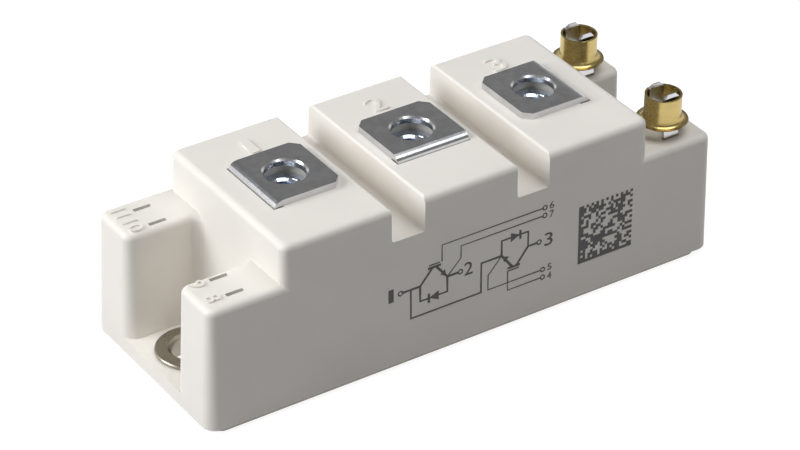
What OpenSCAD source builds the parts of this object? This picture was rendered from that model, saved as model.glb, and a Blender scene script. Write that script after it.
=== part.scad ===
// Half-bridge power transistor module with screw terminals, millimetres, +Z up.
// Origin: middle of the baseplate's underside. X runs along the module, the front side faces -Y.

/* [Housing] */
// Length of the housing at its foot
housing_l = 94; // [92:0.5:98]
// Width of the housing at its foot
housing_w = 34; // [33.5:0.25:37]
// Top of the middle block above the mounting surface
body_top = 29; // [28:0.1:31]
// Top of the four end towers above the mounting surface
tower_top = 22.2; // [21:0.1:23]
// Length of the middle block at its foot
body_l = 68.8; // [68:0.1:70]
// Width of each screw channel at its floor
channel_w = 13.6; // [13:0.1:14.2]
// Thickness of the channel floor over the baseplate
floor_t = 0.5; // [0.4:0.05:0.8]
// Gap between the housing's foot and the mounting surface
foot_gap = 1.2; // [0.8:0.05:1.4]
// Draft of the moulded walls, in degrees
draft = 1.75; // [1:0.05:2]
// Thickness of the moulded walls
wall_t = 1.8; // [1.4:0.1:2]
// Thickness of the moulded roofs
roof_t = 2; // [1.6:0.1:2.4]
// Radius of the upright corners at the foot
corner_r = 2.2; // [2.1:0.05:2.6]
// Radius of the top edges
edge_r = 1.1; // [0.6:0.05:1.2]
// Radius of the coves between the towers and the middle block, at the floor
cove_r = 1.4; // [1:0.1:2]
// Thickness of the walls between a tower and its channel, at the floor
tower_wall_t = 1.5; // [1.3:0.05:1.6]

/* [Creepage grooves] */
// Distance between the two grooves
groove_pitch = 23; // [22:0.1:24]
// Width of a groove at its mouth, inside the rounded lips
groove_w = 6; // [5:0.1:6.5]
// Depth of a groove
groove_d = 5.8; // [4:0.1:7]
// Radius of a groove's lips and floor corners
groove_r = 0.5; // [0.3:0.05:0.7]

/* [Baseplate] */
// Length of the baseplate
plate_l = 90; // [89:0.25:91]
// Width of the baseplate
plate_w = 32; // [31.5:0.1:32.4]
// Thickness of the baseplate
plate_t = 3; // [2.5:0.1:3.5]
// Radius of the baseplate's corners
plate_corner_r = 1.5; // [1:0.1:2]
// Thickness of the adhesive between baseplate and housing
glue_t = 0.15; // [0.1:0.05:0.3]
// Gap round the edge of the baseplate inside the housing's foot
plate_gap = 0.1; // [0.05:0.05:0.2]
// Width of the housing's ledge on the rim of the baseplate
ledge_w = 0.8; // [0.6:0.05:0.9]

/* [Mounting holes] */
// Distance between the two mounting holes
mount_pitch = 80; // [79:0.1:81]
// Clear diameter of a mounting hole
mount_d = 6.4; // [6:0.1:6.6]
// Wall of a hollow rivet
rivet_wall = 0.6; // [0.4:0.05:0.8]
// Diameter of a rivet's flange
rivet_flange_d = 11.2; // [10.4:0.1:11.2]
// Thickness of a rivet's flange
rivet_flange_t = 0.8; // [0.6:0.05:1]
// Clearance of a rivet in its holes, on the radius
rivet_gap = 0.05; // [0.03:0.01:0.1]
// Width of the flared lower end of a rivet
rivet_flare = 0.8; // [0.5:0.1:1]

/* [Power terminals] */
// Distance between neighbouring screw terminals
terminal_pitch = 23; // [22:0.1:24]
// Width of a terminal along its bend
terminal_w = 13.2; // [12:0.1:14]
// Thickness of the terminal sheet
terminal_t = 1.1; // [0.8:0.05:1.2]
// Distance from a terminal's hole to its free edge
terminal_reach = 6.1; // [5.5:0.1:6.6]
// Distance from a terminal's hole to the outer face of its leg
leg_reach = 6.05; // [5.8:0.05:6.5]
// Diameter of the screw hole
terminal_hole_d = 6.6; // [5.5:0.1:6.8]
// Inner radius of the folds in the sheet
fold_r = 0.5; // [0.3:0.05:0.7]
// Chamfer on the free corners
terminal_chamfer = 1.3; // [0.8:0.1:2]
// Width of a leg below the roof, on the outer terminals
leg_w = 5; // [4:0.1:5.4]
// Width of the leg of the middle terminal below the roof
inner_leg_w = 2.7; // [2.2:0.1:2.8]
// Length of the soldered foot of a leg
foot_l = 3.4; // [3:0.1:3.8]
// Clearance of a terminal in its slot
slot_gap = 0.15; // [0.05:0.05:0.25]

/* [Nuts] */
// Width across flats of a nut
nut_af = 8; // [7:0.1:8.5]
// Height of a nut
nut_h = 4.2; // [4:0.1:4.7]
// Core diameter of the nut's thread
nut_core_d = 4.2; // [4:0.1:4.4]
// Clearance of a nut in its pocket, across flats
nut_gap = 0.2; // [0.1:0.05:0.4]
// Space between a nut and the terminal above it
nut_drop = 1.7; // [1:0.1:2]
// Depth of the screw-end hole below a nut
screw_room = 5; // [3:0.1:6]
// Wall round a nut's pocket
nut_wall = 1.5; // [1.2:0.1:1.8]

/* [Control tabs] */
// Distance of the tab slots from the middle of the module
tab_x = 40.2; // [39.8:0.1:40.4]
// Distance of a pair of tabs from the long centre line
tab_pair_y = 11.15; // [11.05:0.05:11.3]
// Distance between the two slots of a pair
tab_slot_pitch = 4.6; // [4.4:0.1:4.7]
// Distance between the two tabs inside their ring
tab_tip_pitch = 3.9; // [3.4:0.1:3.9]
// Width of a tab
tab_w = 2.8; // [2.6:0.05:2.8]
// Thickness of a tab
tab_t = 0.5; // [0.4:0.05:0.55]
// Top of the tabs above the mounting surface
tab_top = 29.9; // [29:0.1:31]
// Chamfer on the corners of a tab's tip
tab_chamfer = 0.7; // [0.4:0.05:0.9]
// Clearance of a tab in its slot
tab_gap = 0.12; // [0.05:0.01:0.15]
// Width of a tab's arm over the substrate
tab_arm_w = 2; // [1.6:0.1:2.4]

/* [Shorting rings] */
// Outer diameter of a ring's tube
ring_d = 6; // [5.95:0.05:6.4]
// Wall of a ring
ring_wall = 0.35; // [0.25:0.05:0.35]
// Diameter of a ring's flared brim
ring_brim_d = 8.4; // [7.8:0.1:9]
// Height of a ring's tube above its brim
ring_tube_h = 3.4; // [3:0.1:4]
// Height of the flare
ring_flare_h = 1.4; // [1:0.1:1.8]
// Top of a ring above the mounting surface
ring_top = 29; // [28.4:0.1:29.2]
// Width of the slit in a ring
ring_slit_w = 0.4; // [0.2:0.05:0.6]

/* [Substrates] */
// Length of a ceramic substrate
ceramic_l = 30.4; // [30:0.1:30.8]
// Width of a ceramic substrate
ceramic_w = 27.6; // [27.2:0.1:28]
// Thickness of a ceramic substrate
ceramic_t = 0.38; // [0.25:0.01:0.64]
// Thickness of the copper on both sides of a ceramic
copper_t = 0.3; // [0.2:0.05:0.4]
// Thickness of the solder layers
solder_t = 0.1; // [0.05:0.01:0.15]
// Bare edge of a ceramic round its copper
bare_edge = 0.7; // [0.5:0.05:0.9]
// Gap between the two substrates
ceramic_gap = 1.6; // [1.4:0.1:2]
// Gap between neighbouring copper tracks
track_gap = 0.6; // [0.5:0.05:0.7]
// Width of a control track
strip_w = 1.6; // [1.4:0.05:1.7]
// Width of the right emitter track
emitter_w = 4.4; // [4.2:0.1:4.6]
// Length of the soldered feet of the control tabs
tab_foot_l = 2.6; // [2:0.1:3]

/* [Chips and wires] */
// Length of a transistor chip along the module
igbt_l = 8; // [7:0.1:8.4]
// Width of a transistor chip
igbt_w = 5.8; // [5.4:0.1:6]
// Length of a diode chip along the module
diode_l = 6.4; // [5.5:0.1:7]
// Width of a diode chip
diode_w = 3.4; // [3:0.1:3.6]
// Thickness of the chips
chip_t = 0.15; // [0.1:0.01:0.2]
// Gap between chips and to the edge of their track
chip_gap = 0.4; // [0.3:0.05:0.5]
// Distance between the two chips of one kind on a substrate
chip_pitch = 10.6; // [10:0.1:11]
// Diameter of a power bond wire
wire_d = 0.4; // [0.3:0.05:0.5]
// Diameter of a control bond wire
fine_wire_d = 0.25; // [0.15:0.05:0.3]
// Distance between neighbouring power wires
wire_pitch = 1.6; // [1.2:0.1:1.8]
// Offset of the power wires from a chip's middle, away from the module's middle
wire_shift = 1.4; // [1.2:0.1:1.6]
// Height of a power wire's loop
loop_h = 2; // [1.4:0.1:2.4]
// Width of the bridge between the two substrates
bridge_w = 1.6; // [1.2:0.1:1.7]
// Length of a foot of the bridge
bridge_foot = 0.6; // [0.4:0.05:0.7]
// Thickness of the bridge
bridge_t = 0.5; // [0.3:0.05:0.6]
// Height of the bridge over the tracks
bridge_h = 1; // [0.6:0.1:1.2]
// Level of the silicone gel above the mounting surface
gel_top = 12; // [10:0.1:14]

/* [Hidden] */
$fn = 48;

EPS = 0.01;           // overlap of a cutter past the face it opens
CUT = 50;             // reach of a cutter past the whole module
ARC = 6;              // steps in a rounded edge
cove_sink = 0.03;     // how far the sweep of a cove bites into both walls
rivet_lift = 0.2;     // height of a rivet's lower end above the mounting surface
rivet_bevel = 0.35;   // bevel at the mouth of a rivet
hole_bevel = 0.3;     // bevel at the mouth of a terminal's hole
nut_bevel = 0.6;      // height of the cone that trims a nut's corners
thread_bevel = 0.5;   // bevel at the mouth of a nut's thread
tip_bevel = 0.6;      // height of the thinned tip of a control tab
tip_share = 0.4;      // share of its thickness that a tab keeps at its tip
tab_bend = 0.3;       // height over the tower where a tab begins to lean
tab_arm_h = 1.2;      // height of a tab's arm over its foot
foot_room = 0.3;      // bare track round the solder of a foot
screw_end_room = 1.8; // how much wider the hole below a nut is than its thread
pad_edge = 0.5;       // distance of a gate wire from the edge of its chip
link_h = 1;           // height of the wires that link the two substrates
loop_spare = 10;      // angle by which a wire's arc runs past each pad before it is cut flush

// Colours
col_plastic = "#e6e2dd";
col_tin = "#9a9a9c";
col_nickel = "#8b8578";
col_zinc = "#9aa6b4";
col_brass = "#a88c48";
col_ceramic = "#f4f1ea";
col_copper = "#b87345";
col_solder = "#a7a9ac";
col_chip = "#5c6068";
col_wire = "#c9cbce";
col_gel = "#d8e4ea";
col_glue = "#3b3b3d";

// Levels of the power stack
seat_z = plate_t + glue_t;
floor_top = seat_z + floor_t;
lower_copper_z = plate_t + solder_t;
ceramic_z = lower_copper_z + copper_t;
track_z = ceramic_z + ceramic_t;
track_top = track_z + copper_t;
chip_z = track_top + solder_t;
chip_top = chip_z + chip_t;
nut_top = body_top - nut_drop;
nut_z = nut_top - nut_h;
terminal_top = body_top + terminal_t;

// Inner walls and roofs of the housing
cavity_l = body_l - 2 * wall_t;
cavity_w = plate_w - 2 * ledge_w;
tower_cavity_x = [cavity_l / 2 - 1, plate_l / 2 - ledge_w];
body_roof = body_top - roof_t;
groove_floor = body_top - groove_d;
groove_roof = groove_floor - roof_t;
tower_roof = tower_top - roof_t;
tower_inner_y = channel_w / 2;
tower_cavity_y = [tower_inner_y + tower_wall_t, cavity_w / 2];

// Tracks, as [low, high] along Y; the power tracks end clear of the inner tabs
track_room = 0.2;     // how far the left emitter track ends short of the middle terminal's leg
control_edge = tab_pair_y - tab_slot_pitch / 2 - tab_t / 2 - track_gap;
track_edge = ceramic_w / 2 - bare_edge;
strip_outer = [track_edge - strip_w, track_edge];
strip_inner = [strip_outer[0] - track_gap - strip_w, strip_outer[0] - track_gap];
emitter_left = [-track_edge, -leg_reach - track_room];
collector_left = [emitter_left[1] + track_gap, control_edge];
emitter_right = [-control_edge, -control_edge + emitter_w];
collector_right = [emitter_right[1] + track_gap, control_edge];
track_x = [ceramic_gap / 2 + bare_edge, ceramic_gap / 2 + ceramic_l - bare_edge];

// Middles of the chips along X and Y
chip_x = track_x[0] + chip_gap + igbt_l / 2;
igbt_left_y = collector_left[1] - chip_gap - igbt_w / 2;
diode_left_y = igbt_left_y - igbt_w / 2 - chip_gap - diode_w / 2;
igbt_right_y = collector_right[0] + chip_gap + igbt_w / 2;
diode_right_y = igbt_right_y + igbt_w / 2 + chip_gap + diode_w / 2;

// Bridge across the gap between the substrates, and the leg of the middle terminal beside it
bridge_y = (collector_left[0] + emitter_right[1]) / 2;
inner_leg_x = track_x[0] + bridge_foot + chip_gap;

function mid(span) = (span[0] + span[1]) / 2;
function inset(h) = h * tan(draft);

// Half outline of a drafted wall of foot radius r whose top edge is rounded by e
function wall_outline(r, z0, z1, e) =
    let (rc = r - inset(z1 - e - z0) - e / cos(draft))
    concat([[r, z0]], [for (i = [0:ARC]) let (a = draft + (90 - draft) * i / ARC)
        [rc + e * cos(a), z1 - e + e * sin(a)]]);

// Half outline of a cove that widens upward and flares into a rounded top edge
function cove_outline(r, z0, z1, e) =
    let (rc = r + inset(z1 - e - z0) + e / cos(draft))
    concat([[r, z0]], [for (i = [0:ARC]) let (a = draft + (90 - draft) * i / ARC)
        [rc - e * cos(a), z1 - e + e * sin(a)]]);

function flipped(points) = [for (i = [len(points) - 1:-1:0]) points[i]];
function moved(points, dx, sx) = [for (p = points) [dx + sx * p[0], p[1]]];

// Points of an arc of radius r about c, from angle a0 to a1
function arc(c, r, a0, a1, n = ARC) =
    [for (i = [0:n]) let (a = a0 + (a1 - a0) * i / n) [c[0] + r * cos(a), c[1] + r * sin(a)]];

// Shape extruded along X or Y: the drawing's axes are [y, z] or [x, z]
module along_x(x0, x1) {
    translate([x0, 0, 0]) rotate([90, 0, 90]) linear_extrude(x1 - x0) children();
}
module along_y(y0, y1) {
    translate([0, y1, 0]) rotate([90, 0, 0]) linear_extrude(y1 - y0) children();
}

// Box from one corner to the other
module span(p0, p1) {
    translate(p0) cube(p1 - p0);
}

// Moulded block on the foot rectangle x, y: drafted walls, rounded corners and top edges
module soft_block(x, y, z0, z1, r, e) {
    side = wall_outline(r, z0, z1, e);
    cx = [x[0] + r, x[1] - r];
    cy = [y[0] + r, y[1] - r];
    along_y(cy[0], cy[1]) polygon(concat(moved(side, cx[1], 1), flipped(moved(side, cx[0], -1))));
    along_x(cx[0], cx[1]) polygon(concat(moved(side, cy[1], 1), flipped(moved(side, cy[0], -1))));
    for (i = [0, 1], j = [0, 1])
        translate([cx[i], cy[j], 0]) rotate(i == j ? (i == 1 ? 0 : 180) : (i == 1 ? 270 : 90))
            rotate_extrude(angle = 90) polygon(concat([[0, z0]], side, [[0, z1]]));
}

// Cove that blends a tower into the end of the middle block, for the quadrant +X +Y
module cove() {
    r = cove_r;
    z1 = tower_top;
    side = cove_outline(r, floor_top, z1, edge_r);
    reach = side[len(side) - 1][0];
    x0 = body_l / 2 - inset(floor_top - foot_gap) + r - cove_sink;
    y0 = tower_inner_y + inset(floor_top - foot_gap) - r + cove_sink;
    translate([x0, y0, 0]) difference() {
        span([-reach, 0, floor_top - EPS], [0, reach, z1]);
        rotate(90) rotate_extrude(angle = 90)
            polygon(concat([[0, 0], [r, 0]], side, [[reach, z1 + 1], [0, z1 + 1]]));
    }
}

module mirrored_x() {
    children();
    mirror([1, 0, 0]) children();
}
module mirrored_y() {
    children();
    mirror([0, 1, 0]) children();
}

// Outer form of the housing
module housing_outside() {
    x_end = housing_l / 2;
    soft_block([-body_l / 2, body_l / 2], [-housing_w / 2, housing_w / 2],
        foot_gap, body_top, corner_r, edge_r);
    mirrored_x() mirrored_y() {
        soft_block([body_l / 2 - 2 * corner_r, x_end], [tower_inner_y, housing_w / 2],
            foot_gap, tower_top, corner_r, edge_r);
        cove();
    }
    mirrored_x() along_y(-tower_inner_y - corner_r, tower_inner_y + corner_r)
        polygon([
            [body_l / 2 - corner_r, foot_gap],
            [x_end, foot_gap],
            [x_end - inset(floor_top - foot_gap), floor_top],
            [body_l / 2 - corner_r, floor_top]
        ]);
}

// Cross groove with rounded lips and floor corners
module groove() {
    r = groove_r;
    h = groove_w / 2;
    top = body_top;
    along_y(-CUT, CUT) polygon(concat(
        arc([h - r, groove_floor + r], r, -90, 0),
        arc([h + r, top - r], r, 180, 90),
        [[h + r, top + 1], [-h - r, top + 1]],
        arc([-h - r, top - r], r, 90, 0),
        arc([-h + r, groove_floor + r], r, 180, 270)
    ));
}

// Plan of the hollow: the middle block and the four towers
module cavity_plan() {
    square([cavity_l, cavity_w], center = true);
    for (sx = [-1, 1], sy = [-1, 1]) scale([sx, sy]) translate([tower_cavity_x[0], tower_cavity_y[0]])
        square([tower_cavity_x[1] - tower_cavity_x[0], tower_cavity_y[1] - tower_cavity_y[0]]);
}

// Half outline of a hollow: drafted wall from the ledge up to its roof
function hollow_side(r, roof) = [[r, seat_z - EPS], [r - inset(roof - seat_z), roof]];

// Hollow of the housing above the ledge
module housing_hollow() {
    h = groove_w / 2 + wall_t;
    g = groove_pitch / 2;
    end = hollow_side(cavity_l / 2, body_roof);
    steps = [[g + h, body_roof], [g + h, groove_roof], [g - h, groove_roof], [g - h, body_roof]];
    side = hollow_side(cavity_w / 2, body_roof);
    tower_side = hollow_side(tower_cavity_y[1], tower_roof);
    tower_end = hollow_side(tower_cavity_x[1], tower_roof);
    intersection() {
        along_y(-CUT, CUT) polygon(concat(end, steps, flipped(moved(concat(end, steps), 0, -1))));
        along_x(-CUT, CUT) polygon(concat(side, flipped(moved(side, 0, -1))));
    }
    mirrored_x() mirrored_y() intersection() {
        along_y(tower_cavity_y[0], tower_cavity_y[1]) polygon(concat(tower_end,
            [[tower_cavity_x[0], tower_roof], [tower_cavity_x[0], seat_z - EPS]]));
        along_x(0, CUT) polygon(concat(tower_side, [[0, tower_roof], [0, seat_z - EPS]]));
    }
}

// Recess in the housing's foot that takes the baseplate
module plate_recess() {
    x = plate_l / 2 + plate_gap;
    y = plate_w / 2 + plate_gap;
    span([-x, -y, -EPS], [x, y, seat_z]);
}

pocket_d = (nut_af + nut_gap) / cos(30);
screw_end_d = nut_core_d + screw_end_room;
well_z = nut_z - screw_room - roof_t;

module at_terminals() {
    for (i = [-1:1]) translate([i * terminal_pitch, 0, 0]) children();
}

// Boss round a nut's pocket and the blind hole below it
module nut_boss() {
    translate([0, 0, nut_z - nut_wall])
        cylinder(d = pocket_d + 2 * nut_wall, h = body_roof - nut_z + nut_wall + EPS);
    translate([0, 0, well_z]) cylinder(d = screw_end_d + 2 * nut_wall, h = nut_z - well_z);
}

module nut_pocket() {
    translate([0, 0, nut_z]) cylinder(d = pocket_d, h = CUT, $fn = 6);
    translate([0, 0, nut_z - screw_room]) cylinder(d = screw_end_d, h = screw_room + EPS);
}

// Slot for a terminal whose leg stands at -X of its hole, with a bevelled lip under the fold
module leg_slot() {
    h = terminal_w / 2 + slot_gap;
    x0 = -leg_reach - slot_gap;
    x1 = -leg_reach + terminal_t + slot_gap;
    along_y(-h, h) polygon([
        [x0, groove_roof], [x1, groove_roof], [x1, body_top - fold_r],
        [x1 + fold_r, body_top], [x1 + fold_r, body_top + 1], [x0, body_top + 1]
    ]);
}

module tab_slot() {
    span([-tab_w / 2 - tab_gap, -tab_t / 2 - tab_gap, tower_roof - 1],
        [tab_w / 2 + tab_gap, tab_t / 2 + tab_gap, tower_top + 1]);
}

module housing() {
    color(col_plastic) difference() {
        union() {
            difference() {
                housing_outside();
                housing_hollow();
                plate_recess();
            }
            at_terminals() nut_boss();
        }
        mirrored_x() translate([groove_pitch / 2, 0, 0]) groove();
        at_terminals() nut_pocket();
        translate([-terminal_pitch, 0, 0]) leg_slot();
        rotate(90) leg_slot();
        translate([terminal_pitch, 0, 0]) rotate(180) leg_slot();
        for (sx = [-1, 1], sy = [-1, 1], s = [-1, 1])
            translate([sx * tab_x, sy * tab_pair_y + s * tab_slot_pitch / 2, 0]) tab_slot();
        mirrored_x() translate([mount_pitch / 2, 0, 0])
            cylinder(d = mount_d + 2 * (rivet_wall + rivet_gap), h = floor_top + 1);
    }
}

// Outline of the baseplate with rounded corners
module plate_plan() {
    r = plate_corner_r;
    square([plate_l - 2 * r, plate_w], center = true);
    square([plate_l, plate_w - 2 * r], center = true);
    for (i = [-1, 1], j = [-1, 1]) translate([i * (plate_l / 2 - r), j * (plate_w / 2 - r)]) circle(r);
}

// Nickel-plated copper plate with two rivet holes, countersunk from below
module baseplate() {
    hole_r = mount_d / 2 + rivet_wall + rivet_gap;
    color(col_nickel) difference() {
        linear_extrude(plate_t) plate_plan();
        mirrored_x() translate([mount_pitch / 2, 0, 0]) rotate_extrude() polygon([
            [0, -1], [hole_r + rivet_flare, -1], [hole_r + rivet_flare, rivet_lift],
            [hole_r, rivet_lift + rivet_flare], [hole_r, plate_t + 1], [0, plate_t + 1]
        ]);
    }
}

// Hollow rivet: flange on the channel floor, tube through the plate, flared lower end
module rivet() {
    r = mount_d / 2;
    tube = r + rivet_wall;
    flange = rivet_flange_d / 2;
    top = floor_top + rivet_flange_t;
    soft = rivet_flange_t / 2;
    color(col_nickel) translate([mount_pitch / 2, 0, 0]) rotate_extrude() polygon(concat(
        [[r, rivet_lift + rivet_wall], [tube + rivet_flare, rivet_lift], [tube, rivet_lift + rivet_flare]],
        [[tube, floor_top]],
        arc([flange - soft, floor_top + soft], soft, -90, 90, 2 * ARC),
        [[r + rivet_bevel, top], [r, top - rivet_bevel]]
    ));
}

// Adhesive on the rim of the baseplate and under the channel floors
module adhesive() {
    color(col_glue) translate([0, 0, plate_t]) linear_extrude(glue_t) difference() {
        plate_plan();
        cavity_plan();
        for (s = [-1, 1]) translate([s * mount_pitch / 2, 0])
            circle(d = mount_d + 2 * (rivet_wall + rivet_gap));
    }
}

// Folded sheet in the plane [u, z]: top flange, fold, leg down and a foot turned to the side s
module folded_sheet(u_free, u_leg, top, bottom, t, s) {
    ri = fold_r;
    ro = fold_r + t;
    foot = u_leg + s * foot_l;
    polygon(concat(
        [[u_free, top]],
        arc([u_leg + ro, top - ro], ro, 90, 180),
        s > 0
            ? concat(
                arc([u_leg + ro, bottom + ro], ro, 180, 270),
                [[foot, bottom], [foot, bottom + t]],
                arc([u_leg + ro, bottom + ro], ri, 270, 180))
            : concat(
                arc([u_leg - ri, bottom + ro], ri, 0, -90),
                [[foot, bottom + t], [foot, bottom]],
                arc([u_leg - ri, bottom + ro], ro, 270, 360)),
        arc([u_leg + ro, top - ro], ri, 180, 90),
        [[u_free, top - t]]
    ));
}

// Terminal with its hole on the Z axis and its leg at -X; the leg narrows below the roof to y0..y1
module power_terminal(s, y0, y1) {
    h = terminal_w / 2;
    c = terminal_chamfer;
    shoulder = groove_roof;
    bottom = track_top + solder_t;
    color(col_tin) difference() {
        intersection() {
            along_y(-h, h) folded_sheet(terminal_reach, -leg_reach, terminal_top, bottom, terminal_t, s);
            along_x(-CUT, CUT) polygon([
                [-h, shoulder], [y0, shoulder], [y0, 0], [y1, 0], [y1, shoulder],
                [h, shoulder], [h, terminal_top + 1], [-h, terminal_top + 1]
            ]);
            linear_extrude(CUT) polygon([
                [-leg_reach - foot_l - 1, -h], [terminal_reach - c, -h], [terminal_reach, -h + c],
                [terminal_reach, h - c], [terminal_reach - c, h], [-leg_reach - foot_l - 1, h]
            ]);
        }
        translate([0, 0, body_top - 1]) cylinder(d = terminal_hole_d, h = terminal_t + 2);
        mouth = hole_bevel + EPS;
        translate([0, 0, terminal_top - hole_bevel])
            cylinder(d1 = terminal_hole_d, d2 = terminal_hole_d + 2 * mouth, h = mouth);
    }
}

module terminal_1() {
    translate([-terminal_pitch, 0, 0]) power_terminal(1, -leg_w / 2, leg_w / 2);
}
module terminal_2() {
    rotate(90) power_terminal(-1, inner_leg_x, inner_leg_x + inner_leg_w);
}
module terminal_3() {
    translate([terminal_pitch, 0, 0]) rotate(180) power_terminal(1, -leg_w / 2, leg_w / 2);
}

// Hexagon nut with chamfered corners, resting on the floor of its pocket
module nut(i) {
    corner = nut_af / cos(30) / 2;
    color(col_zinc) translate([i * terminal_pitch, 0, nut_z]) difference() {
        intersection() {
            cylinder(r = corner, h = nut_h, $fn = 6);
            rotate_extrude() polygon([
                [0, 0], [nut_af / 2, 0], [corner, nut_bevel],
                [corner, nut_h - nut_bevel], [nut_af / 2, nut_h], [0, nut_h]
            ]);
        }
        translate([0, 0, -1]) cylinder(d = nut_core_d, h = nut_h + 2);
        mouth = thread_bevel + EPS;
        translate([0, 0, nut_h - thread_bevel])
            cylinder(d1 = nut_core_d, d2 = nut_core_d + 2 * mouth, h = mouth);
    }
}

// Control tab: one stamped strip from its tip, through the tower, to a foot on its track.
// It stands at +Y of the pair's middle when side is 1; its foot lies on the track at foot_y
module control_tab(pair, side, foot_y) {
    t = tab_t;
    slot_y = pair * tab_pair_y + side * tab_slot_pitch / 2;
    tip_y = pair * tab_pair_y + side * tab_tip_pitch / 2;
    turn = foot_y > slot_y ? 1 : -1;
    bottom = track_top + solder_t;
    z_bend = tower_top + tab_bend;
    z_tube = ring_top - ring_tube_h - ring_flare_h;
    z_tip = tab_top - tip_bevel;
    tip = turn * t * tip_share / 2;
    foot_end = foot_y + turn * strip_w / 2;
    x0 = track_x[1] - tab_foot_l;
    arm_z = bottom + tab_arm_h;
    right = tab_x + tab_w / 2;
    left = tab_x - tab_w / 2;
    color(col_tin) intersection() {
        along_x(x0, right) polygon([
            [slot_y - turn * t / 2, bottom], [foot_end, bottom], [foot_end, bottom + t],
            [slot_y + turn * t / 2, bottom + t], [slot_y + turn * t / 2, z_bend],
            [tip_y + turn * t / 2, z_tube], [tip_y + turn * t / 2, z_tip],
            [tip_y + tip, tab_top], [tip_y - tip, tab_top],
            [tip_y - turn * t / 2, z_tip], [tip_y - turn * t / 2, z_tube],
            [slot_y - turn * t / 2, z_bend]
        ]);
        along_y(-CUT, CUT) polygon([
            [x0, bottom], [track_x[1], bottom], [track_x[1], arm_z], [right, arm_z],
            [right, tab_top - tab_chamfer], [right - tab_chamfer, tab_top],
            [left + tab_chamfer, tab_top], [left, tab_top - tab_chamfer],
            [left, arm_z + tab_arm_w], [x0, arm_z + tab_arm_w]
        ]);
    }
}

module control_tab_4() { control_tab(-1, -1, -mid(strip_outer)); }
module control_tab_5() { control_tab(-1, 1, -mid(strip_inner)); }
module control_tab_6() { control_tab(1, 1, mid(strip_outer)); }
module control_tab_7() { control_tab(1, -1, mid(strip_inner)); }

// Rolled brass ring that joins a pair of tabs: slit tube with a flared brim
module shorting_ring(pair) {
    ro = ring_d / 2;
    w = ring_wall;
    brim = ring_brim_d / 2 - ro;
    z1 = ring_top;
    z0 = ring_top - ring_tube_h;
    color(col_brass) translate([tab_x, pair * tab_pair_y, 0]) difference() {
        rotate_extrude() polygon(concat(
            [[ro - w, z1], [ro - w, z0]],
            [for (i = [1:ARC]) let (a = 90 * i / ARC)
                [ro + brim * (1 - cos(a)) - w * (sin(a) + cos(a)), z0 - ring_flare_h * sin(a)]],
            [for (i = [ARC:-1:0]) let (a = 90 * i / ARC)
                [ro + brim * (1 - cos(a)), z0 - ring_flare_h * sin(a) + w * (1 - cos(a))]],
            [[ro, z1]]
        ));
        rotate(104) span([0, -ring_slit_w / 2, z0], [ro + 1, ring_slit_w / 2, z1 + 1]);
    }
}

// One layer of a substrate, drawn for the right-hand one
module layer(x0, x1, y, z, t) {
    span([x0, y[0], z], [x1, y[1], z + t]);
}

module base_solder() {
    w = ceramic_w / 2 - bare_edge;
    color(col_solder) layer(track_x[0], track_x[1], [-w, w], plate_t, solder_t);
}
module lower_copper() {
    w = ceramic_w / 2 - bare_edge;
    color(col_copper) layer(track_x[0], track_x[1], [-w, w], lower_copper_z, copper_t);
}
module ceramic() {
    w = ceramic_w / 2;
    color(col_ceramic) layer(ceramic_gap / 2, ceramic_gap / 2 + ceramic_l, [-w, w], ceramic_z, ceramic_t);
}

module tracks_left() {
    color(col_copper) for (y = [strip_outer, strip_inner, collector_left, emitter_left])
        layer(-track_x[1], -track_x[0], y, track_z, copper_t);
}
module tracks_right() {
    color(col_copper) for (y = [strip_outer, strip_inner, collector_right, emitter_right,
            -[strip_inner[1], strip_inner[0]], -[strip_outer[1], strip_outer[0]]])
        layer(track_x[0], track_x[1], y, track_z, copper_t);
}

// Plate centred on [x, y]
module chip(x, y, l, w, z, t) {
    translate([x - l / 2, y - w / 2, z]) cube([l, w, t]);
}

// Places of the chips: [x, y] by side and number
function igbt_at(side, n) = [side * (chip_x + n * chip_pitch), side < 0 ? igbt_left_y : igbt_right_y];
function diode_at(side, n) = [side * (chip_x + n * chip_pitch), side < 0 ? diode_left_y : diode_right_y];

module igbt(side, n) {
    p = igbt_at(side, n);
    color(col_chip) chip(p[0], p[1], igbt_l, igbt_w, chip_z, chip_t);
}
module diode(side, n) {
    p = diode_at(side, n);
    color(col_chip) chip(p[0], p[1], diode_l, diode_w, chip_z, chip_t);
}

// Solder under every chip and every foot
module chip_solder() {
    z = [track_top, chip_z];
    leg_x = terminal_pitch + leg_reach;
    color(col_solder) {
        for (side = [-1, 1], n = [0, 1]) {
            p = igbt_at(side, n);
            q = diode_at(side, n);
            chip(p[0], p[1], igbt_l, igbt_w, z[0], solder_t);
            chip(q[0], q[1], diode_l, diode_w, z[0], solder_t);
        }
        mirrored_x() span([leg_x - foot_l, -leg_w / 2, z[0]], [leg_x - fold_r - terminal_t, leg_w / 2, z[1]]);
        span([-inner_leg_x - inner_leg_w, -leg_reach - foot_l, z[0]],
            [-inner_leg_x, emitter_left[1] - foot_room, z[1]]);
        for (y = [-mid(strip_outer), -mid(strip_inner), mid(strip_inner), mid(strip_outer)])
            span([track_x[1] - tab_foot_l, y - strip_w / 2, z[0]], [track_x[1], y + strip_w / 2, z[1]]);
        mirrored_x() span([track_x[0], bridge_y - bridge_w / 2, z[0]],
            [track_x[0] + bridge_foot, bridge_y + bridge_w / 2, z[1]]);
    }
}

// Folded bridge that joins the left collector track to the right emitter track
module phase_bridge() {
    x0 = track_x[0];
    x1 = x0 + bridge_foot;
    z0 = chip_z;
    z1 = chip_z + bridge_h;
    color(col_copper) along_y(bridge_y - bridge_w / 2, bridge_y + bridge_w / 2) polygon([
        [-x1, z0], [-x0, z0], [-x0, z1], [x0, z1], [x0, z0], [x1, z0],
        [x1, z1 + bridge_t], [-x1, z1 + bridge_t]
    ]);
}

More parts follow.
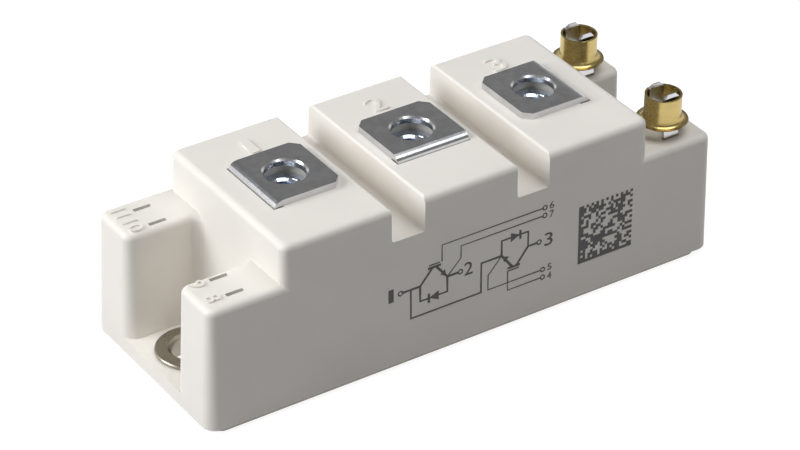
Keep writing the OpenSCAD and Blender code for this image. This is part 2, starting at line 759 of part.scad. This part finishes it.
// One loop of round wire in the plane [u, z], from pad p to pad q, cut flush with both pads
module loop(p, q, h, d) {
    c = norm(q - p);
    r = (c * c / 4 + h * h) / (2 * h);
    m = (p + q) / 2;
    up = [p[1] - q[1], q[0] - p[0]] / c * sign(q[0] - p[0]);
    o = m - up * (r - h);
    turn = 2 * acos((r - h) / r) + 2 * loop_spare;
    difference() {
        translate([o[0], 0, o[1]]) rotate([90, 0, 0]) rotate(atan2(up[1], up[0]) - turn / 2)
            rotate_extrude(angle = turn) translate([r, 0]) circle(d = d, $fn = 16);
        span([min(p[0], q[0]) - r - d, -d, o[1] - r - d], [m[0], d, p[0] < q[0] ? p[1] : q[1]]);
        span([m[0], -d, o[1] - r - d], [max(p[0], q[0]) + r + d, d, p[0] < q[0] ? q[1] : p[1]]);
    }
}

// Slot of square section round the same loop, for what is cast over the wires
module loop_room(p, q, h, d) {
    c = norm(q - p);
    r = (c * c / 4 + h * h) / (2 * h);
    up = [p[1] - q[1], q[0] - p[0]] / c * sign(q[0] - p[0]);
    o = (p + q) / 2 - up * (r - h);
    depth = r + d;
    along_y(-d / 2, d / 2) translate(o) difference() {
        circle(r + d / 2);
        circle(r - d / 2);
        translate([-depth, -2 * depth + min(p[1], q[1]) - o[1] - chip_t / 2]) square(2 * depth);
    }
}

// Wire over a list of pads [u, z], or the room for it
module wire_over(pads, h, d, room) {
    for (i = [0:len(pads) - 2])
        if (room) loop_room(pads[i], pads[i + 1], h, d);
        else loop(pads[i], pads[i + 1], h, d);
}
module wire_y(x, pads, h, d, room) {
    translate([x, 0, 0]) rotate(90) wire_over(pads, h, d, room);
}

// Power wires from a transistor and its diode to the emitter track, drawn for both sides
module power_wires(side, n, landing, room) {
    far = side < 0 ? igbt_at(side, n)[1] : diode_at(side, n)[1];
    near = side < 0 ? diode_at(side, n)[1] : igbt_at(side, n)[1];
    for (i = [-1:1]) wire_y(side * (chip_x + n * chip_pitch + wire_shift + i * wire_pitch),
        [[far, chip_top], [near, chip_top], [landing, track_top]], loop_h, wire_d, room);
}

module wires_left(room) {
    gate_y = igbt_left_y + igbt_w / 2 - pad_edge;
    for (n = [0, 1]) {
        power_wires(-1, n, emitter_left[0] + 2 * wire_pitch, room);
        wire_y(-(chip_x + n * chip_pitch), [[gate_y, chip_top], [mid(strip_outer), track_top]],
            loop_h, fine_wire_d, room);
    }
    wire_y(-(chip_x + chip_pitch) + wire_pitch,
        [[igbt_left_y + pad_edge, chip_top], [mid(strip_inner), track_top]], loop_h, fine_wire_d, room);
    for (strip = [strip_outer, strip_inner]) translate([0, mid(strip), 0])
        wire_over([[-track_x[0] - link_h, track_top], [track_x[0] + link_h, track_top]],
            link_h, fine_wire_d, room);
}

module wires_right(room) {
    gate_y = igbt_right_y - igbt_w / 2 + pad_edge;
    for (n = [0, 1]) {
        power_wires(1, n, mid(emitter_right), room);
        wire_y(chip_x + n * chip_pitch - wire_pitch, [[gate_y, chip_top], [-mid(strip_outer), track_top]],
            1.5 * loop_h, fine_wire_d, room);
    }
    wire_y(chip_x + 1.5 * chip_pitch, [[mid(emitter_right), track_top], [-mid(strip_inner), track_top]],
        loop_h / 2, fine_wire_d, room);
}

module bond_wires_left() {
    color(col_wire) wires_left(false);
}
module bond_wires_right() {
    color(col_wire) wires_right(false);
}

// Silicone gel that covers the chips up to its level, round everything that stands in it
module gel() {
    color(col_gel) difference() {
        intersection() {
            union() {
                housing_hollow();
                translate([0, 0, plate_t]) linear_extrude(glue_t) cavity_plan();
            }
            span([-CUT, -CUT, plate_t], [CUT, CUT, gel_top]);
        }
        mirrored_x() {
            base_solder();
            lower_copper();
            ceramic();
        }
        tracks_left();
        tracks_right();
        chip_solder();
        for (side = [-1, 1], n = [0, 1]) {
            igbt(side, n);
            diode(side, n);
        }
        phase_bridge();
        wires_left(true);
        wires_right(true);
        terminal_1();
        terminal_2();
        terminal_3();
        control_tab_4();
        control_tab_5();
        control_tab_6();
        control_tab_7();
    }
}

baseplate();
housing();
adhesive();
mirror([1, 0, 0]) rivet();  // mounting_rivet_left
rivet();  // mounting_rivet_right
terminal_1();
terminal_2();
terminal_3();
nut(-1);  // nut_1
nut(0);  // nut_2
nut(1);  // nut_3
control_tab_4();
control_tab_5();
control_tab_6();
control_tab_7();
shorting_ring(-1);  // shorting_ring_front
shorting_ring(1);  // shorting_ring_rear
mirror([1, 0, 0]) base_solder();  // base_solder_left
base_solder();  // base_solder_right
mirror([1, 0, 0]) lower_copper();  // lower_copper_left
lower_copper();  // lower_copper_right
mirror([1, 0, 0]) ceramic();  // ceramic_left
ceramic();  // ceramic_right
tracks_left();
tracks_right();
chip_solder();
igbt(-1, 0);  // igbt_left_1
igbt(-1, 1);  // igbt_left_2
igbt(1, 0);  // igbt_right_1
igbt(1, 1);  // igbt_right_2
diode(-1, 0);  // diode_left_1
diode(-1, 1);  // diode_left_2
diode(1, 0);  // diode_right_1
diode(1, 1);  // diode_right_2
phase_bridge();
bond_wires_left();
bond_wires_right();
gel();
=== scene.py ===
import math
import random

import bpy
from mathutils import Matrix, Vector


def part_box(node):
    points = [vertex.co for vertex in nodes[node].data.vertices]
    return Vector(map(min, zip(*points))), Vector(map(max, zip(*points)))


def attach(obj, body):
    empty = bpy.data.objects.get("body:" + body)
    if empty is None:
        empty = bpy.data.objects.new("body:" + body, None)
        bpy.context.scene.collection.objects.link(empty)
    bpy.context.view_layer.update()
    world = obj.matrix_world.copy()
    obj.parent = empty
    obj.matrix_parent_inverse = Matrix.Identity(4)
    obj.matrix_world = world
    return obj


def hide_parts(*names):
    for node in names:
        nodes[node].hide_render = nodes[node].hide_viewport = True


# Half-bridge transistor module: finishes, raised numerals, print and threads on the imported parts, in metres
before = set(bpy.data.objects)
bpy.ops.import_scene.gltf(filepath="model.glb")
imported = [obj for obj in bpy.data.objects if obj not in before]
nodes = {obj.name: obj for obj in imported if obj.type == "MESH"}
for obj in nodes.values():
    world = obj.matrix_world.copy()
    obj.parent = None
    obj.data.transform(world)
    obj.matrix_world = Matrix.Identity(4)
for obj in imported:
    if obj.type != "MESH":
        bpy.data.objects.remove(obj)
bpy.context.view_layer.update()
mm = 0.001
print("frame loaded:", len(nodes), "nodes")


def deselectAll():
    if bpy.context.object and bpy.context.object.mode != "OBJECT":
        bpy.ops.object.mode_set(mode="OBJECT")
    bpy.ops.object.select_all(action="DESELECT")


deselectAll()


# ---- materials
def startMaterial(name, colour, metallic=0.0, roughness=0.5):
    mat = bpy.data.materials.new(name)
    mat.use_nodes = True
    shader = mat.node_tree.nodes["Principled BSDF"]
    shader.inputs["Base Color"].default_value = (*colour, 1)
    shader.inputs["Metallic"].default_value = metallic
    shader.inputs["Roughness"].default_value = roughness
    return mat, shader


# a node with its own settings and its sockets' values given by name
def addNode(mat, kind, place, **values):
    node = mat.node_tree.nodes.new(kind)
    node.location = place
    for key, value in values.items():
        if hasattr(node, key):
            setattr(node, key, value)
        else:
            node.inputs[key].default_value = value
    return node


def link(mat, fromNode, fromSocket, toNode, toSocket):
    mat.node_tree.links.new(fromNode.outputs[fromSocket], toNode.inputs[toSocket])


# noise on Object coordinates, stretched along the three axes
def addNoise(mat, scale, stretch=(1, 1, 1), detail=4.0, place=(-800, 0)):
    coord = addNode(mat, "ShaderNodeTexCoord", (place[0] - 400, place[1]))
    mapping = addNode(mat, "ShaderNodeMapping", (place[0] - 200, place[1]), Scale=stretch)
    noise = addNode(mat, "ShaderNodeTexNoise", place, Scale=scale, Detail=detail, Roughness=0.55)
    link(mat, coord, "Object", mapping, "Vector")
    link(mat, mapping, "Vector", noise, "Vector")
    return noise


# colour ramp with one colour up to low and the other from high
def addRamp(mat, low, lowColour, high, highColour, place=(-500, 200)):
    ramp = addNode(mat, "ShaderNodeValToRGB", place)
    ends = ramp.color_ramp.elements
    ends[0].position = low
    ends[0].color = (*lowColour, 1)
    ends[1].position = high
    ends[1].color = (*highColour, 1)
    return ramp


def tint(colour, factor):
    return tuple(min(1.0, c * factor) for c in colour)


# clouds the shader's colour between two tints of it
def cloudColour(mat, shader, noise, dark, light):
    ramp = addRamp(mat, 0.35, dark, 0.65, light)
    link(mat, noise, "Fac", ramp, "Fac")
    link(mat, ramp, "Color", shader, "Base Color")


# spreads the shader's roughness from low to high over the middle of a noise
def spreadGloss(mat, shader, noise, low, high):
    span = addNode(mat, "ShaderNodeMapRange", (-500, -100))
    for key, value in {"From Min": 0.3, "From Max": 0.7, "To Min": low, "To Max": high}.items():
        span.inputs[key].default_value = value
    link(mat, noise, "Fac", span, "Value")
    link(mat, span, "Result", shader, "Roughness")


def addBump(mat, shader, noise, strength, distance):
    bump = addNode(mat, "ShaderNodeBump", (-250, -300), Strength=strength, Distance=distance)
    link(mat, noise, "Fac", bump, "Height")
    link(mat, bump, "Normal", shader, "Normal")


# fine satin moulding, a little uneven in tone
plastic = {
    "colour": (0.83, 0.785, 0.72),
    "tones": (0.975, 1.02),
    "cloud": 60,
    "roughness": 0.46,
    "rough": (0.41, 0.52),
    "grain": 2600,
    "bump": 0.12,
    "bumpDepth": 0.00004,
}


def makePlastic():
    look = plastic
    mat, shader = startMaterial("mouldedPlastic", look["colour"], 0, look["roughness"])
    cloud = addNoise(mat, look["cloud"], detail=3, place=(-800, 300))
    cloudColour(mat, shader, cloud, *(tint(look["colour"], t) for t in look["tones"]))
    grain = addNoise(mat, look["grain"], detail=2, place=(-800, -200))
    spreadGloss(mat, shader, grain, *look["rough"])
    addBump(mat, shader, grain, look["bump"], look["bumpDepth"])
    return mat


# plated or rolled metal: clouded tone, uneven gloss and fine marks, which can run along one axis
metals = {
    "tin": {"colour": (0.66, 0.66, 0.67), "rough": (0.2, 0.27), "cloud": 420, "marks": 900, "bump": 0.03},
    # the baseplate is nickel, darkened here into painted shade so that its side shows as a dark line under
    # the housing's foot
    "plate": {"colour": (0.27, 0.25, 0.22), "rough": (0.3, 0.45), "cloud": 300, "marks": 700, "bump": 0.05},
    "nickel": {"colour": (0.36, 0.33, 0.27), "rough": (0.24, 0.4), "cloud": 300, "marks": 700, "bump": 0.08},
    "zinc": {"colour": (0.62, 0.68, 0.78), "rough": (0.12, 0.2), "cloud": 500, "marks": 600, "bump": 0.03},
    "brass": {"colour": (0.56, 0.43, 0.17), "rough": (0.22, 0.34), "cloud": 350, "marks": 500, "bump": 0.05,
              "stretch": (1, 1, 6)},
    "copper": {"colour": (0.78, 0.42, 0.26), "rough": (0.3, 0.45), "cloud": 300, "marks": 700, "bump": 0.05},
    "solder": {"colour": (0.60, 0.61, 0.63), "rough": (0.3, 0.5), "cloud": 600, "marks": 900, "bump": 0.1},
    "wire": {"colour": (0.80, 0.81, 0.82), "rough": (0.25, 0.35), "cloud": 600, "marks": 900, "bump": 0.04},
}
metalSurface = {"tones": (0.92, 1.05), "bumpDepth": 0.00005}


def makeMetal(name):
    look = metals[name]
    mat, shader = startMaterial(name + "Metal", look["colour"], 1, sum(look["rough"]) / 2)
    cloud = addNoise(mat, look["cloud"], detail=5, place=(-800, 300))
    cloudColour(mat, shader, cloud, *(tint(look["colour"], t) for t in metalSurface["tones"]))
    marks = addNoise(mat, look["marks"], look.get("stretch", (1, 1, 1)), detail=5, place=(-800, -200))
    spreadGloss(mat, shader, marks, *look["rough"])
    addBump(mat, shader, marks, look["bump"], metalSurface["bumpDepth"])
    return mat


# dull or glassy finishes without bump
plainLooks = {
    "glue": {"colour": (0.05, 0.05, 0.055), "rough": 0.6, "cloud": 400},
    "ceramic": {"colour": (0.88, 0.87, 0.83), "rough": 0.55, "cloud": 900},
    "silicon": {"colour": (0.16, 0.17, 0.2), "rough": 0.22, "cloud": 500},
    "ink": {"colour": (0.065, 0.06, 0.058), "rough": 0.55, "cloud": 3000},
}
plainSurface = {"tones": (0.85, 1.15), "smoother": 0.05, "rougher": 0.08}


def makePlain(name):
    look = plainLooks[name]
    rough = look["rough"]
    mat, shader = startMaterial(name + "Finish", look["colour"], 0, rough)
    cloud = addNoise(mat, look["cloud"], detail=3, place=(-800, 300))
    cloudColour(mat, shader, cloud, *(tint(look["colour"], t) for t in plainSurface["tones"]))
    spreadGloss(mat, shader, cloud, rough - plainSurface["smoother"], rough + plainSurface["rougher"])
    return mat


# clear silicone, faintly blue
gelLook = {
    "dim": (0.82, 0.88, 0.91),
    "bright": (0.9, 0.94, 0.96),
    "cloud": 120,
    "rough": 0.18,
    "ior": 1.41,
    "clear": 0.9,
}


def makeGel():
    mat, shader = startMaterial("clearGel", gelLook["bright"], 0, gelLook["rough"])
    shader.inputs["Transmission Weight"].default_value = gelLook["clear"]
    shader.inputs["IOR"].default_value = gelLook["ior"]
    cloud = addNoise(mat, gelLook["cloud"], detail=2, place=(-800, 300))
    cloudColour(mat, shader, cloud, gelLook["dim"], gelLook["bright"])
    return mat


plasticMat = makePlastic()
metalMats = {name: makeMetal(name) for name in metals}
plainMats = {name: makePlain(name) for name in plainLooks}

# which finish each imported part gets, by the first word of its name
finishes = {
    "housing": plasticMat,
    "baseplate": metalMats["plate"],
    "adhesive": plainMats["glue"],
    "mounting": metalMats["nickel"],
    "terminal": metalMats["tin"],
    "nut": metalMats["zinc"],
    "control": metalMats["tin"],
    "shorting": metalMats["brass"],
    "base": metalMats["solder"],
    "lower": metalMats["copper"],
    "ceramic": plainMats["ceramic"],
    "tracks": metalMats["copper"],
    "chip": metalMats["solder"],
    "igbt": plainMats["silicon"],
    "diode": plainMats["silicon"],
    "phase": metalMats["copper"],
    "bond": metalMats["wire"],
    "gel": makeGel(),
}


def dress(name, obj):
    mat = finishes[name.split("_")[0]]
    if not obj.material_slots:
        obj.data.materials.append(mat)
    for place in obj.material_slots:
        place.material = mat


for name, obj in nodes.items():
    dress(name, obj)
print("finishes given")


# ---- new pieces
def pick(obj):
    deselectAll()
    obj.select_set(True)
    bpy.context.view_layer.objects.active = obj


def freeze(obj):
    pick(obj)
    bpy.ops.object.transform_apply(location=True, rotation=True, scale=True)


def joinAll(parts):
    pick(parts[0])
    for part in parts:
        part.select_set(True)
    bpy.ops.object.join()
    return bpy.context.object


# edit mode with every face selected, or none
def startEdit(action):
    bpy.ops.object.mode_set(mode="EDIT")
    bpy.ops.mesh.select_mode(type="FACE")
    bpy.ops.mesh.select_all(action=action)


def turnOutwards():
    bpy.ops.mesh.select_all(action="SELECT")
    bpy.ops.mesh.normals_make_consistent(inside=False)
    bpy.ops.object.mode_set(mode="OBJECT")


def finishPiece(obj, name, mat):
    freeze(obj)
    obj.name = name
    obj.data.name = name
    obj.data.materials.clear()
    obj.data.materials.append(mat)
    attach(obj, "root")


# a numeral made a mesh round the origin, its height along Y and its back at z = 0
def makeNumeral(text, tall, wide, depth):
    deselectAll()
    bpy.ops.object.text_add(location=(0, 0, 0))
    obj = bpy.context.object
    obj.data.body = text
    obj.data.align_x = "CENTER"
    obj.data.align_y = "CENTER"
    obj.data.resolution_u = 6
    obj.data.extrude = depth / 2
    obj.data.size = tall
    bpy.ops.object.convert(target="MESH")
    xs = [v.co.x for v in obj.data.vertices]
    ys = [v.co.y for v in obj.data.vertices]
    obj.location = (-(min(xs) + max(xs)) / 2, -(min(ys) + max(ys)) / 2, depth / 2)
    freeze(obj)
    obj.scale = (wide / (max(xs) - min(xs)), tall / (max(ys) - min(ys)), 1)
    freeze(obj)
    return obj


# raised numerals on the roofs, in mm: the block's read from the front, the towers' from the left end
numerals = {
    "height": 0.28,
    "sink": 0.05,
    "block": {
        "tall": 3.9,
        "wide": {"1": 1.5, "2": 2.6, "3": 2.6},
        "x": {"1": -23, "2": 0, "3": 23},
        "y": 10.1,
    },
    "tower": {
        "tall": 2.4,
        "wide": {"8": 1.6, "9": 1.6, "10": 3.0, "11": 2.0},
        "x": -43.9,
        "y": {"8": -13.3, "9": -9.0, "10": 9.6, "11": 13.7},
        "roof": 22.2,
    },
}


def placeNumeral(text, look, x, y, roof, turn):
    depth = numerals["height"] + numerals["sink"]
    obj = makeNumeral(text, look["tall"] * mm, look["wide"][text] * mm, depth * mm)
    obj.rotation_euler = (0, 0, turn)
    obj.location = (x * mm, y * mm, roof - numerals["sink"] * mm)
    finishPiece(obj, "numeral_" + text, plasticMat)


def makeNumerals():
    look = numerals["block"]
    for text, x in look["x"].items():
        placeNumeral(text, look, x, look["y"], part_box("housing")[1][2], 0)
    look = numerals["tower"]
    for text, y in look["y"].items():
        placeNumeral(text, look, look["x"], y, look["roof"] * mm, -math.pi / 2)


# circuit drawing on the front side: mm along the module and mm above the floor
drawing = {
    "thick": 0.42,
    "thin": 0.24,
    "proud": 0.02,
    "flatness": 0.12,
    "foot": 1.2,
    "draft": 1.75,
    "bold": [
        [(-12.6, 13.7), (-11.1, 13.7), (-11.1, 8.5), (1.9, 8.5), (1.9, 13.8), (5.7, 13.8)],
        [(-11.1, 13.7), (-9.4, 13.7), (-7.1, 16.3)],
        [(-8.0, 16.3), (-5.6, 16.3)],
        [(-6.5, 16.3), (-4.4, 13.7), (-2.4, 13.7)],
        [(-9.4, 13.7), (-9.4, 11.0), (-4.4, 11.0), (-4.4, 13.7)],
        [(5.7, 13.8), (5.7, 16.5), (10.7, 16.5), (10.7, 13.8), (12.4, 13.8)],
        [(10.7, 13.8), (8.5, 11.1)],
        [(6.9, 11.1), (9.2, 11.1)],
        [(7.8, 11.1), (5.7, 13.8)],
        [(-7.8, 10.2), (-7.8, 11.8)],
        [(9.2, 15.7), (9.2, 17.3)],
    ],
    "fine": [
        [(-7.8, 16.8), (-5.8, 16.8)],
        [(-5.4, 16.8), (-5.4, 19.7), (13.4, 19.7)],
        [(-4.4, 13.7), (-1.9, 16.2), (-1.9, 18.3), (13.4, 18.3)],
        [(6.9, 10.6), (9.0, 10.6)],
        [(6.9, 10.6), (6.9, 7.1), (13.2, 7.1)],
        [(5.7, 13.8), (3.2, 11.1), (3.2, 8.5), (13.2, 8.5)],
    ],
    "wedges": [
        [(-6.0, 10.2), (-6.0, 11.8), (-7.7, 11.0)],
        [(7.4, 15.7), (7.4, 17.3), (9.1, 16.5)],
        [(-4.6, 13.9), (-5.7, 14.5), (-4.9, 15.2)],
        [(5.9, 13.6), (6.2, 12.5), (7.1, 13.2)],
    ],
    "rings": [
        (-13.0, 13.7), (-2.0, 13.7), (12.8, 13.8),
        (13.8, 19.7), (13.8, 18.3), (13.6, 8.5), (13.6, 7.1),
    ],
    "ringRadius": 0.38,
    "ringSides": 12,
    "big": {"tall": 2.3, "at": {"1": (-14.7, 13.8), "2": (-0.5, 13.8), "3": (14.6, 13.8)}},
    "small": {"tall": 1.2, "at": {"6": (15.1, 19.8), "7": (15.1, 18.2), "5": (14.9, 8.6), "4": (14.9, 7.0)}},
    "stretch": 0.68,
    "oneStretch": 0.4,
}


# stands flat ink, drawn in x and y, on the drafted front side
def layOnFront(obj, name):
    slope = math.radians(drawing["draft"])
    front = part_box("housing")[0][1]
    obj.rotation_euler = (math.pi / 2 - slope, 0, 0)
    obj.location = (0, front - drawing["proud"] * mm - drawing["foot"] * mm * math.tan(slope), 0)
    finishPiece(obj, name, plainMats["ink"])


# a curve through a list of points, with the curve's own settings, made a mesh
def makeCurve(points, closed, **settings):
    curve = bpy.data.curves.new("ink", "CURVE")
    for key, value in settings.items():
        setattr(curve, key, value)
    spline = curve.splines.new("POLY")
    spline.points.add(len(points) - 1)
    for point, (x, y) in zip(spline.points, points):
        point.co = (x * mm, y * mm, 0, 1)
    spline.use_cyclic_u = closed
    obj = bpy.data.objects.new("ink", curve)
    bpy.context.collection.objects.link(obj)
    pick(obj)
    bpy.ops.object.convert(target="MESH")
    return obj


def makeLine(points, width, closed=False):
    obj = makeCurve(points, closed, dimensions="3D", bevel_depth=width / 2 * mm, bevel_resolution=1,
                    use_fill_caps=True)
    obj.scale = (1, 1, drawing["flatness"])
    freeze(obj)
    return obj


def makeWedge(points):
    return makeCurve(points, True, dimensions="2D", fill_mode="BOTH", extrude=drawing["proud"] * mm)


def makeRing(x, y):
    r = drawing["ringRadius"]
    sides = drawing["ringSides"]
    turns = [2 * math.pi * i / sides for i in range(sides)]
    return makeLine([(x + r * math.cos(a), y + r * math.sin(a)) for a in turns], drawing["thin"], True)


def makeLabel(text, x, y, tall):
    wide = tall * (drawing["oneStretch"] if text == "1" else drawing["stretch"])
    label = makeNumeral(text, tall * mm, wide * mm, drawing["proud"] * mm)
    label.location = (x * mm, y * mm, 0)
    freeze(label)
    return label


def makeDrawing():
    parts = [makeLine(points, drawing["thick"]) for points in drawing["bold"]]
    parts += [makeLine(points, drawing["thin"]) for points in drawing["fine"]]
    parts += [makeWedge(points) for points in drawing["wedges"]]
    parts += [makeRing(x, y) for x, y in drawing["rings"]]
    for size in (drawing["big"], drawing["small"]):
        parts += [makeLabel(text, x, y, size["tall"]) for text, (x, y) in size["at"].items()]
    layOnFront(joinAll(parts), "circuit_drawing")


# square code of dark dots with no message: two solid sides, two dotted sides and a seeded fill
dotCode = {"corner": (20.4, 7.0), "cells": 22, "cell": 0.475, "fill": 0.5, "seed": 7}


def isInked(column, row):
    last = dotCode["cells"] - 1
    if column == 0 or row == 0:
        return True
    if column == last or row == last:
        return (column + row) % 2 == 0
    return random.random() < dotCode["fill"]


def makeDotCode():
    random.seed(dotCode["seed"])
    count = dotCode["cells"]
    cell = dotCode["cell"] * mm
    x0, y0 = (v * mm for v in dotCode["corner"])
    deselectAll()
    bpy.ops.mesh.primitive_grid_add(x_subdivisions=count, y_subdivisions=count, size=count * cell,
                                    location=(x0 + count * cell / 2, y0 + count * cell / 2, 0))
    obj = bpy.context.object
    freeze(obj)
    startEdit("DESELECT")
    bpy.ops.object.mode_set(mode="OBJECT")
    for face in obj.data.polygons:
        face.select = not isInked(int((face.center.x - x0) / cell), int((face.center.y - y0) / cell))
    bpy.ops.object.mode_set(mode="EDIT")
    bpy.ops.mesh.delete(type="FACE")
    bpy.ops.mesh.select_all(action="SELECT")
    bpy.ops.mesh.extrude_region_move(TRANSFORM_OT_translate={"value": (0, 0, drawing["proud"] * mm)})
    turnOutwards()
    layOnFront(obj, "dot_code")


# thread of the nuts in mm: the bore is opened from core to root, and a ridge winds up it to the crest
thread = {
    "core": 2.1,
    "root": 2.5,
    "crest": 2.12,
    "pitch": 0.8,
    "turns": 5,
    "steps": 32,
    "sink": 0.03,        # how far the ridge stands in the wall
    "crestShare": 0.2,   # width of the crest against the root
    "lift": 0.48,        # start of the first turn above the nut's lower face
    "reach": 0.05,       # what lies this close outside the core still belongs to the bore
    "weld": 0.002,
}


def openBore(name, cx, cy):
    obj = nodes[name].copy()
    obj.data = nodes[name].data.copy()
    bpy.context.collection.objects.link(obj)
    pick(obj)
    startEdit("SELECT")
    bpy.ops.mesh.remove_doubles(threshold=thread["weld"] * mm)
    bpy.ops.object.mode_set(mode="OBJECT")
    grow = thread["root"] / thread["core"]
    for v in obj.data.vertices:
        dx, dy = v.co.x - cx, v.co.y - cy
        if math.hypot(dx, dy) < (thread["core"] + thread["reach"]) * mm:
            v.co.x, v.co.y = cx + dx * grow, cy + dy * grow
    return obj


def windRidge(cx, cy, bottom):
    deselectAll()
    bpy.ops.mesh.primitive_plane_add(size=thread["pitch"] * mm, location=(0, 0, 0))
    ridge = bpy.context.object
    root = (thread["root"] + thread["sink"]) * mm
    crest = thread["crest"] * mm
    half = thread["pitch"] / 2 * mm
    tip = half * thread["crestShare"]
    corners = [(root, -half), (root, half), (crest, -tip), (crest, tip)]
    for v, (x, z) in zip(ridge.data.vertices, corners):
        v.co = (x, 0, z)
    screw = ridge.modifiers.new("winding", "SCREW")
    screw.axis = "Z"
    screw.angle = 2 * math.pi
    screw.screw_offset = thread["pitch"] * mm
    screw.iterations = thread["turns"]
    screw.steps = screw.render_steps = thread["steps"]
    screw.use_normal_calculate = True
    bpy.ops.object.modifier_apply(modifier="winding")
    ridge.location = (cx, cy, bottom + thread["lift"] * mm)
    freeze(ridge)
    startEdit("SELECT")
    turnOutwards()
    return ridge


def makeNut(name):
    low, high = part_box(name)
    cx, cy = (low[0] + high[0]) / 2, (low[1] + high[1]) / 2
    nut = openBore(name, cx, cy)
    nut = joinAll([nut, windRidge(cx, cy, low[2])])
    finishPiece(nut, "threaded_" + name, metalMats["zinc"])
    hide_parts(name)


makeNumerals()
print("numerals raised")
makeDrawing()
makeDotCode()
print("front side printed")
for nutName in ("nut_1", "nut_2", "nut_3"):
    makeNut(nutName)
print("nuts threaded")

# ---- floor, light and camera
studio = {
    "floorSize": 3.0,
    "floorBounce": 0.33,
    "floorShown": 0.25,
    "floorGlow": 0.9,
    "skyFill": 0.18,
    "skyTop": 0.21,      # grey that metal reflects from above
    "skyWhite": 0.12,    # height up to which the reflected sky is white
    "skyGrey": 0.4,      # height from which it is the grey
    "lampColour": (0.94, 0.97, 1.0),
    "lamps": {
        "leftSoftbox": {"place": (-0.55, 0.18, 0.30), "size": 0.4, "power": 3.8},
        "topSoftbox": {"place": (0.10, -0.12, 0.62), "size": 0.45, "power": 2.2},
    },
}


def grey(level):
    return (level, level, level)


def clearTree(owner):
    owner.use_nodes = True
    owner.node_tree.nodes.clear()


# 1 for either of two kinds of light ray
def addEither(owner, path, first, second):
    either = addNode(owner, "ShaderNodeMath", (-600, 200), operation="MAXIMUM")
    link(owner, path, first, either, 0)
    link(owner, path, second, either, 1)
    return either


def addMix(owner, factorNode, factorSocket, plain, chosen, place):
    mix = addNode(owner, "ShaderNodeMixShader", place)
    link(owner, factorNode, factorSocket, mix, "Fac")
    link(owner, plain, 0, mix, 1)
    link(owner, chosen, 0, mix, 2)
    return mix


# the floor is near white to the camera and in metal, and keeps the shadow
def makeFloor():
    bpy.ops.mesh.primitive_plane_add(size=studio["floorSize"], location=(0, 0, 0))
    floor = bpy.context.object
    floor.name = "studioFloor"
    mat = bpy.data.materials.new("paleFloor")
    clearTree(mat)
    path = addNode(mat, "ShaderNodeLightPath", (-800, 200))
    seen = addEither(mat, path, "Is Camera Ray", "Is Glossy Ray")
    bounce = addNode(mat, "ShaderNodeBsdfDiffuse", (-600, 0), Color=(*grey(studio["floorBounce"]), 1))
    shown = addNode(mat, "ShaderNodeBsdfDiffuse", (-600, -150), Color=(*grey(studio["floorShown"]), 1))
    glow = addNode(mat, "ShaderNodeEmission", (-600, -300), Strength=studio["floorGlow"])
    both = addNode(mat, "ShaderNodeAddShader", (-400, -200))
    link(mat, shown, "BSDF", both, 0)
    link(mat, glow, "Emission", both, 1)
    mix = addMix(mat, seen, "Value", bounce, both, (-200, 0))
    out = addNode(mat, "ShaderNodeOutputMaterial", (0, 0))
    link(mat, mix, "Shader", out, "Surface")
    floor.data.materials.append(mat)


# even fill, a white backdrop, and for metal a sky that greys towards the top
def makeWorld():
    world = bpy.data.worlds.new("studioWorld")
    bpy.context.scene.world = world
    clearTree(world)
    path = addNode(world, "ShaderNodeLightPath", (-800, 200))
    coord = addNode(world, "ShaderNodeTexCoord", (-1000, -200))
    split = addNode(world, "ShaderNodeSeparateXYZ", (-800, -200))
    sky = addRamp(world, studio["skyWhite"], grey(1), studio["skyGrey"], grey(studio["skyTop"]))
    link(world, coord, "Generated", split, "Vector")
    link(world, split, "Z", sky, "Fac")
    fill = addNode(world, "ShaderNodeBackground", (-400, 0), Strength=studio["skyFill"])
    gloss = addNode(world, "ShaderNodeBackground", (-400, -150))
    link(world, sky, "Color", gloss, "Color")
    white = addNode(world, "ShaderNodeBackground", (-400, -300))
    lit = addMix(world, path, "Is Glossy Ray", fill, gloss, (-200, 0))
    seen = addEither(world, path, "Is Camera Ray", "Is Transmission Ray")
    shown = addMix(world, seen, "Value", lit, white, (0, 0))
    out = addNode(world, "ShaderNodeOutputWorld", (200, 0))
    link(world, shown, "Shader", out, "Surface")


def makeLamp(name, look):
    bpy.ops.object.light_add(type="AREA", location=look["place"])
    lamp = bpy.context.object
    lamp.name = name
    lamp.data.shape = "SQUARE"
    lamp.data.size = look["size"]
    lamp.data.energy = look["power"]
    lamp.data.color = studio["lampColour"]
    lamp.rotation_euler = (-Vector(look["place"])).to_track_quat("-Z", "Y").to_euler()


camera = {
    "place": (-0.245124, -0.354737, 0.295095),
    "turn": (56.7333, -0.8421, -33.8832),
    "lens": 148.391,
    "sensor": 36,
    "near": 0.01,
    "far": 20,
}


def makeCamera():
    bpy.ops.object.camera_add(location=camera["place"])
    cam = bpy.context.object
    cam.rotation_euler = [math.radians(a) for a in camera["turn"]]
    cam.data.lens = camera["lens"]
    cam.data.sensor_width = camera["sensor"]
    cam.data.clip_start = camera["near"]
    cam.data.clip_end = camera["far"]
    bpy.context.scene.camera = cam


makeFloor()
makeWorld()
for lampName, lampLook in studio["lamps"].items():
    makeLamp(lampName, lampLook)
makeCamera()
bpy.context.scene.view_settings.view_transform = "Standard"
print("studio ready")
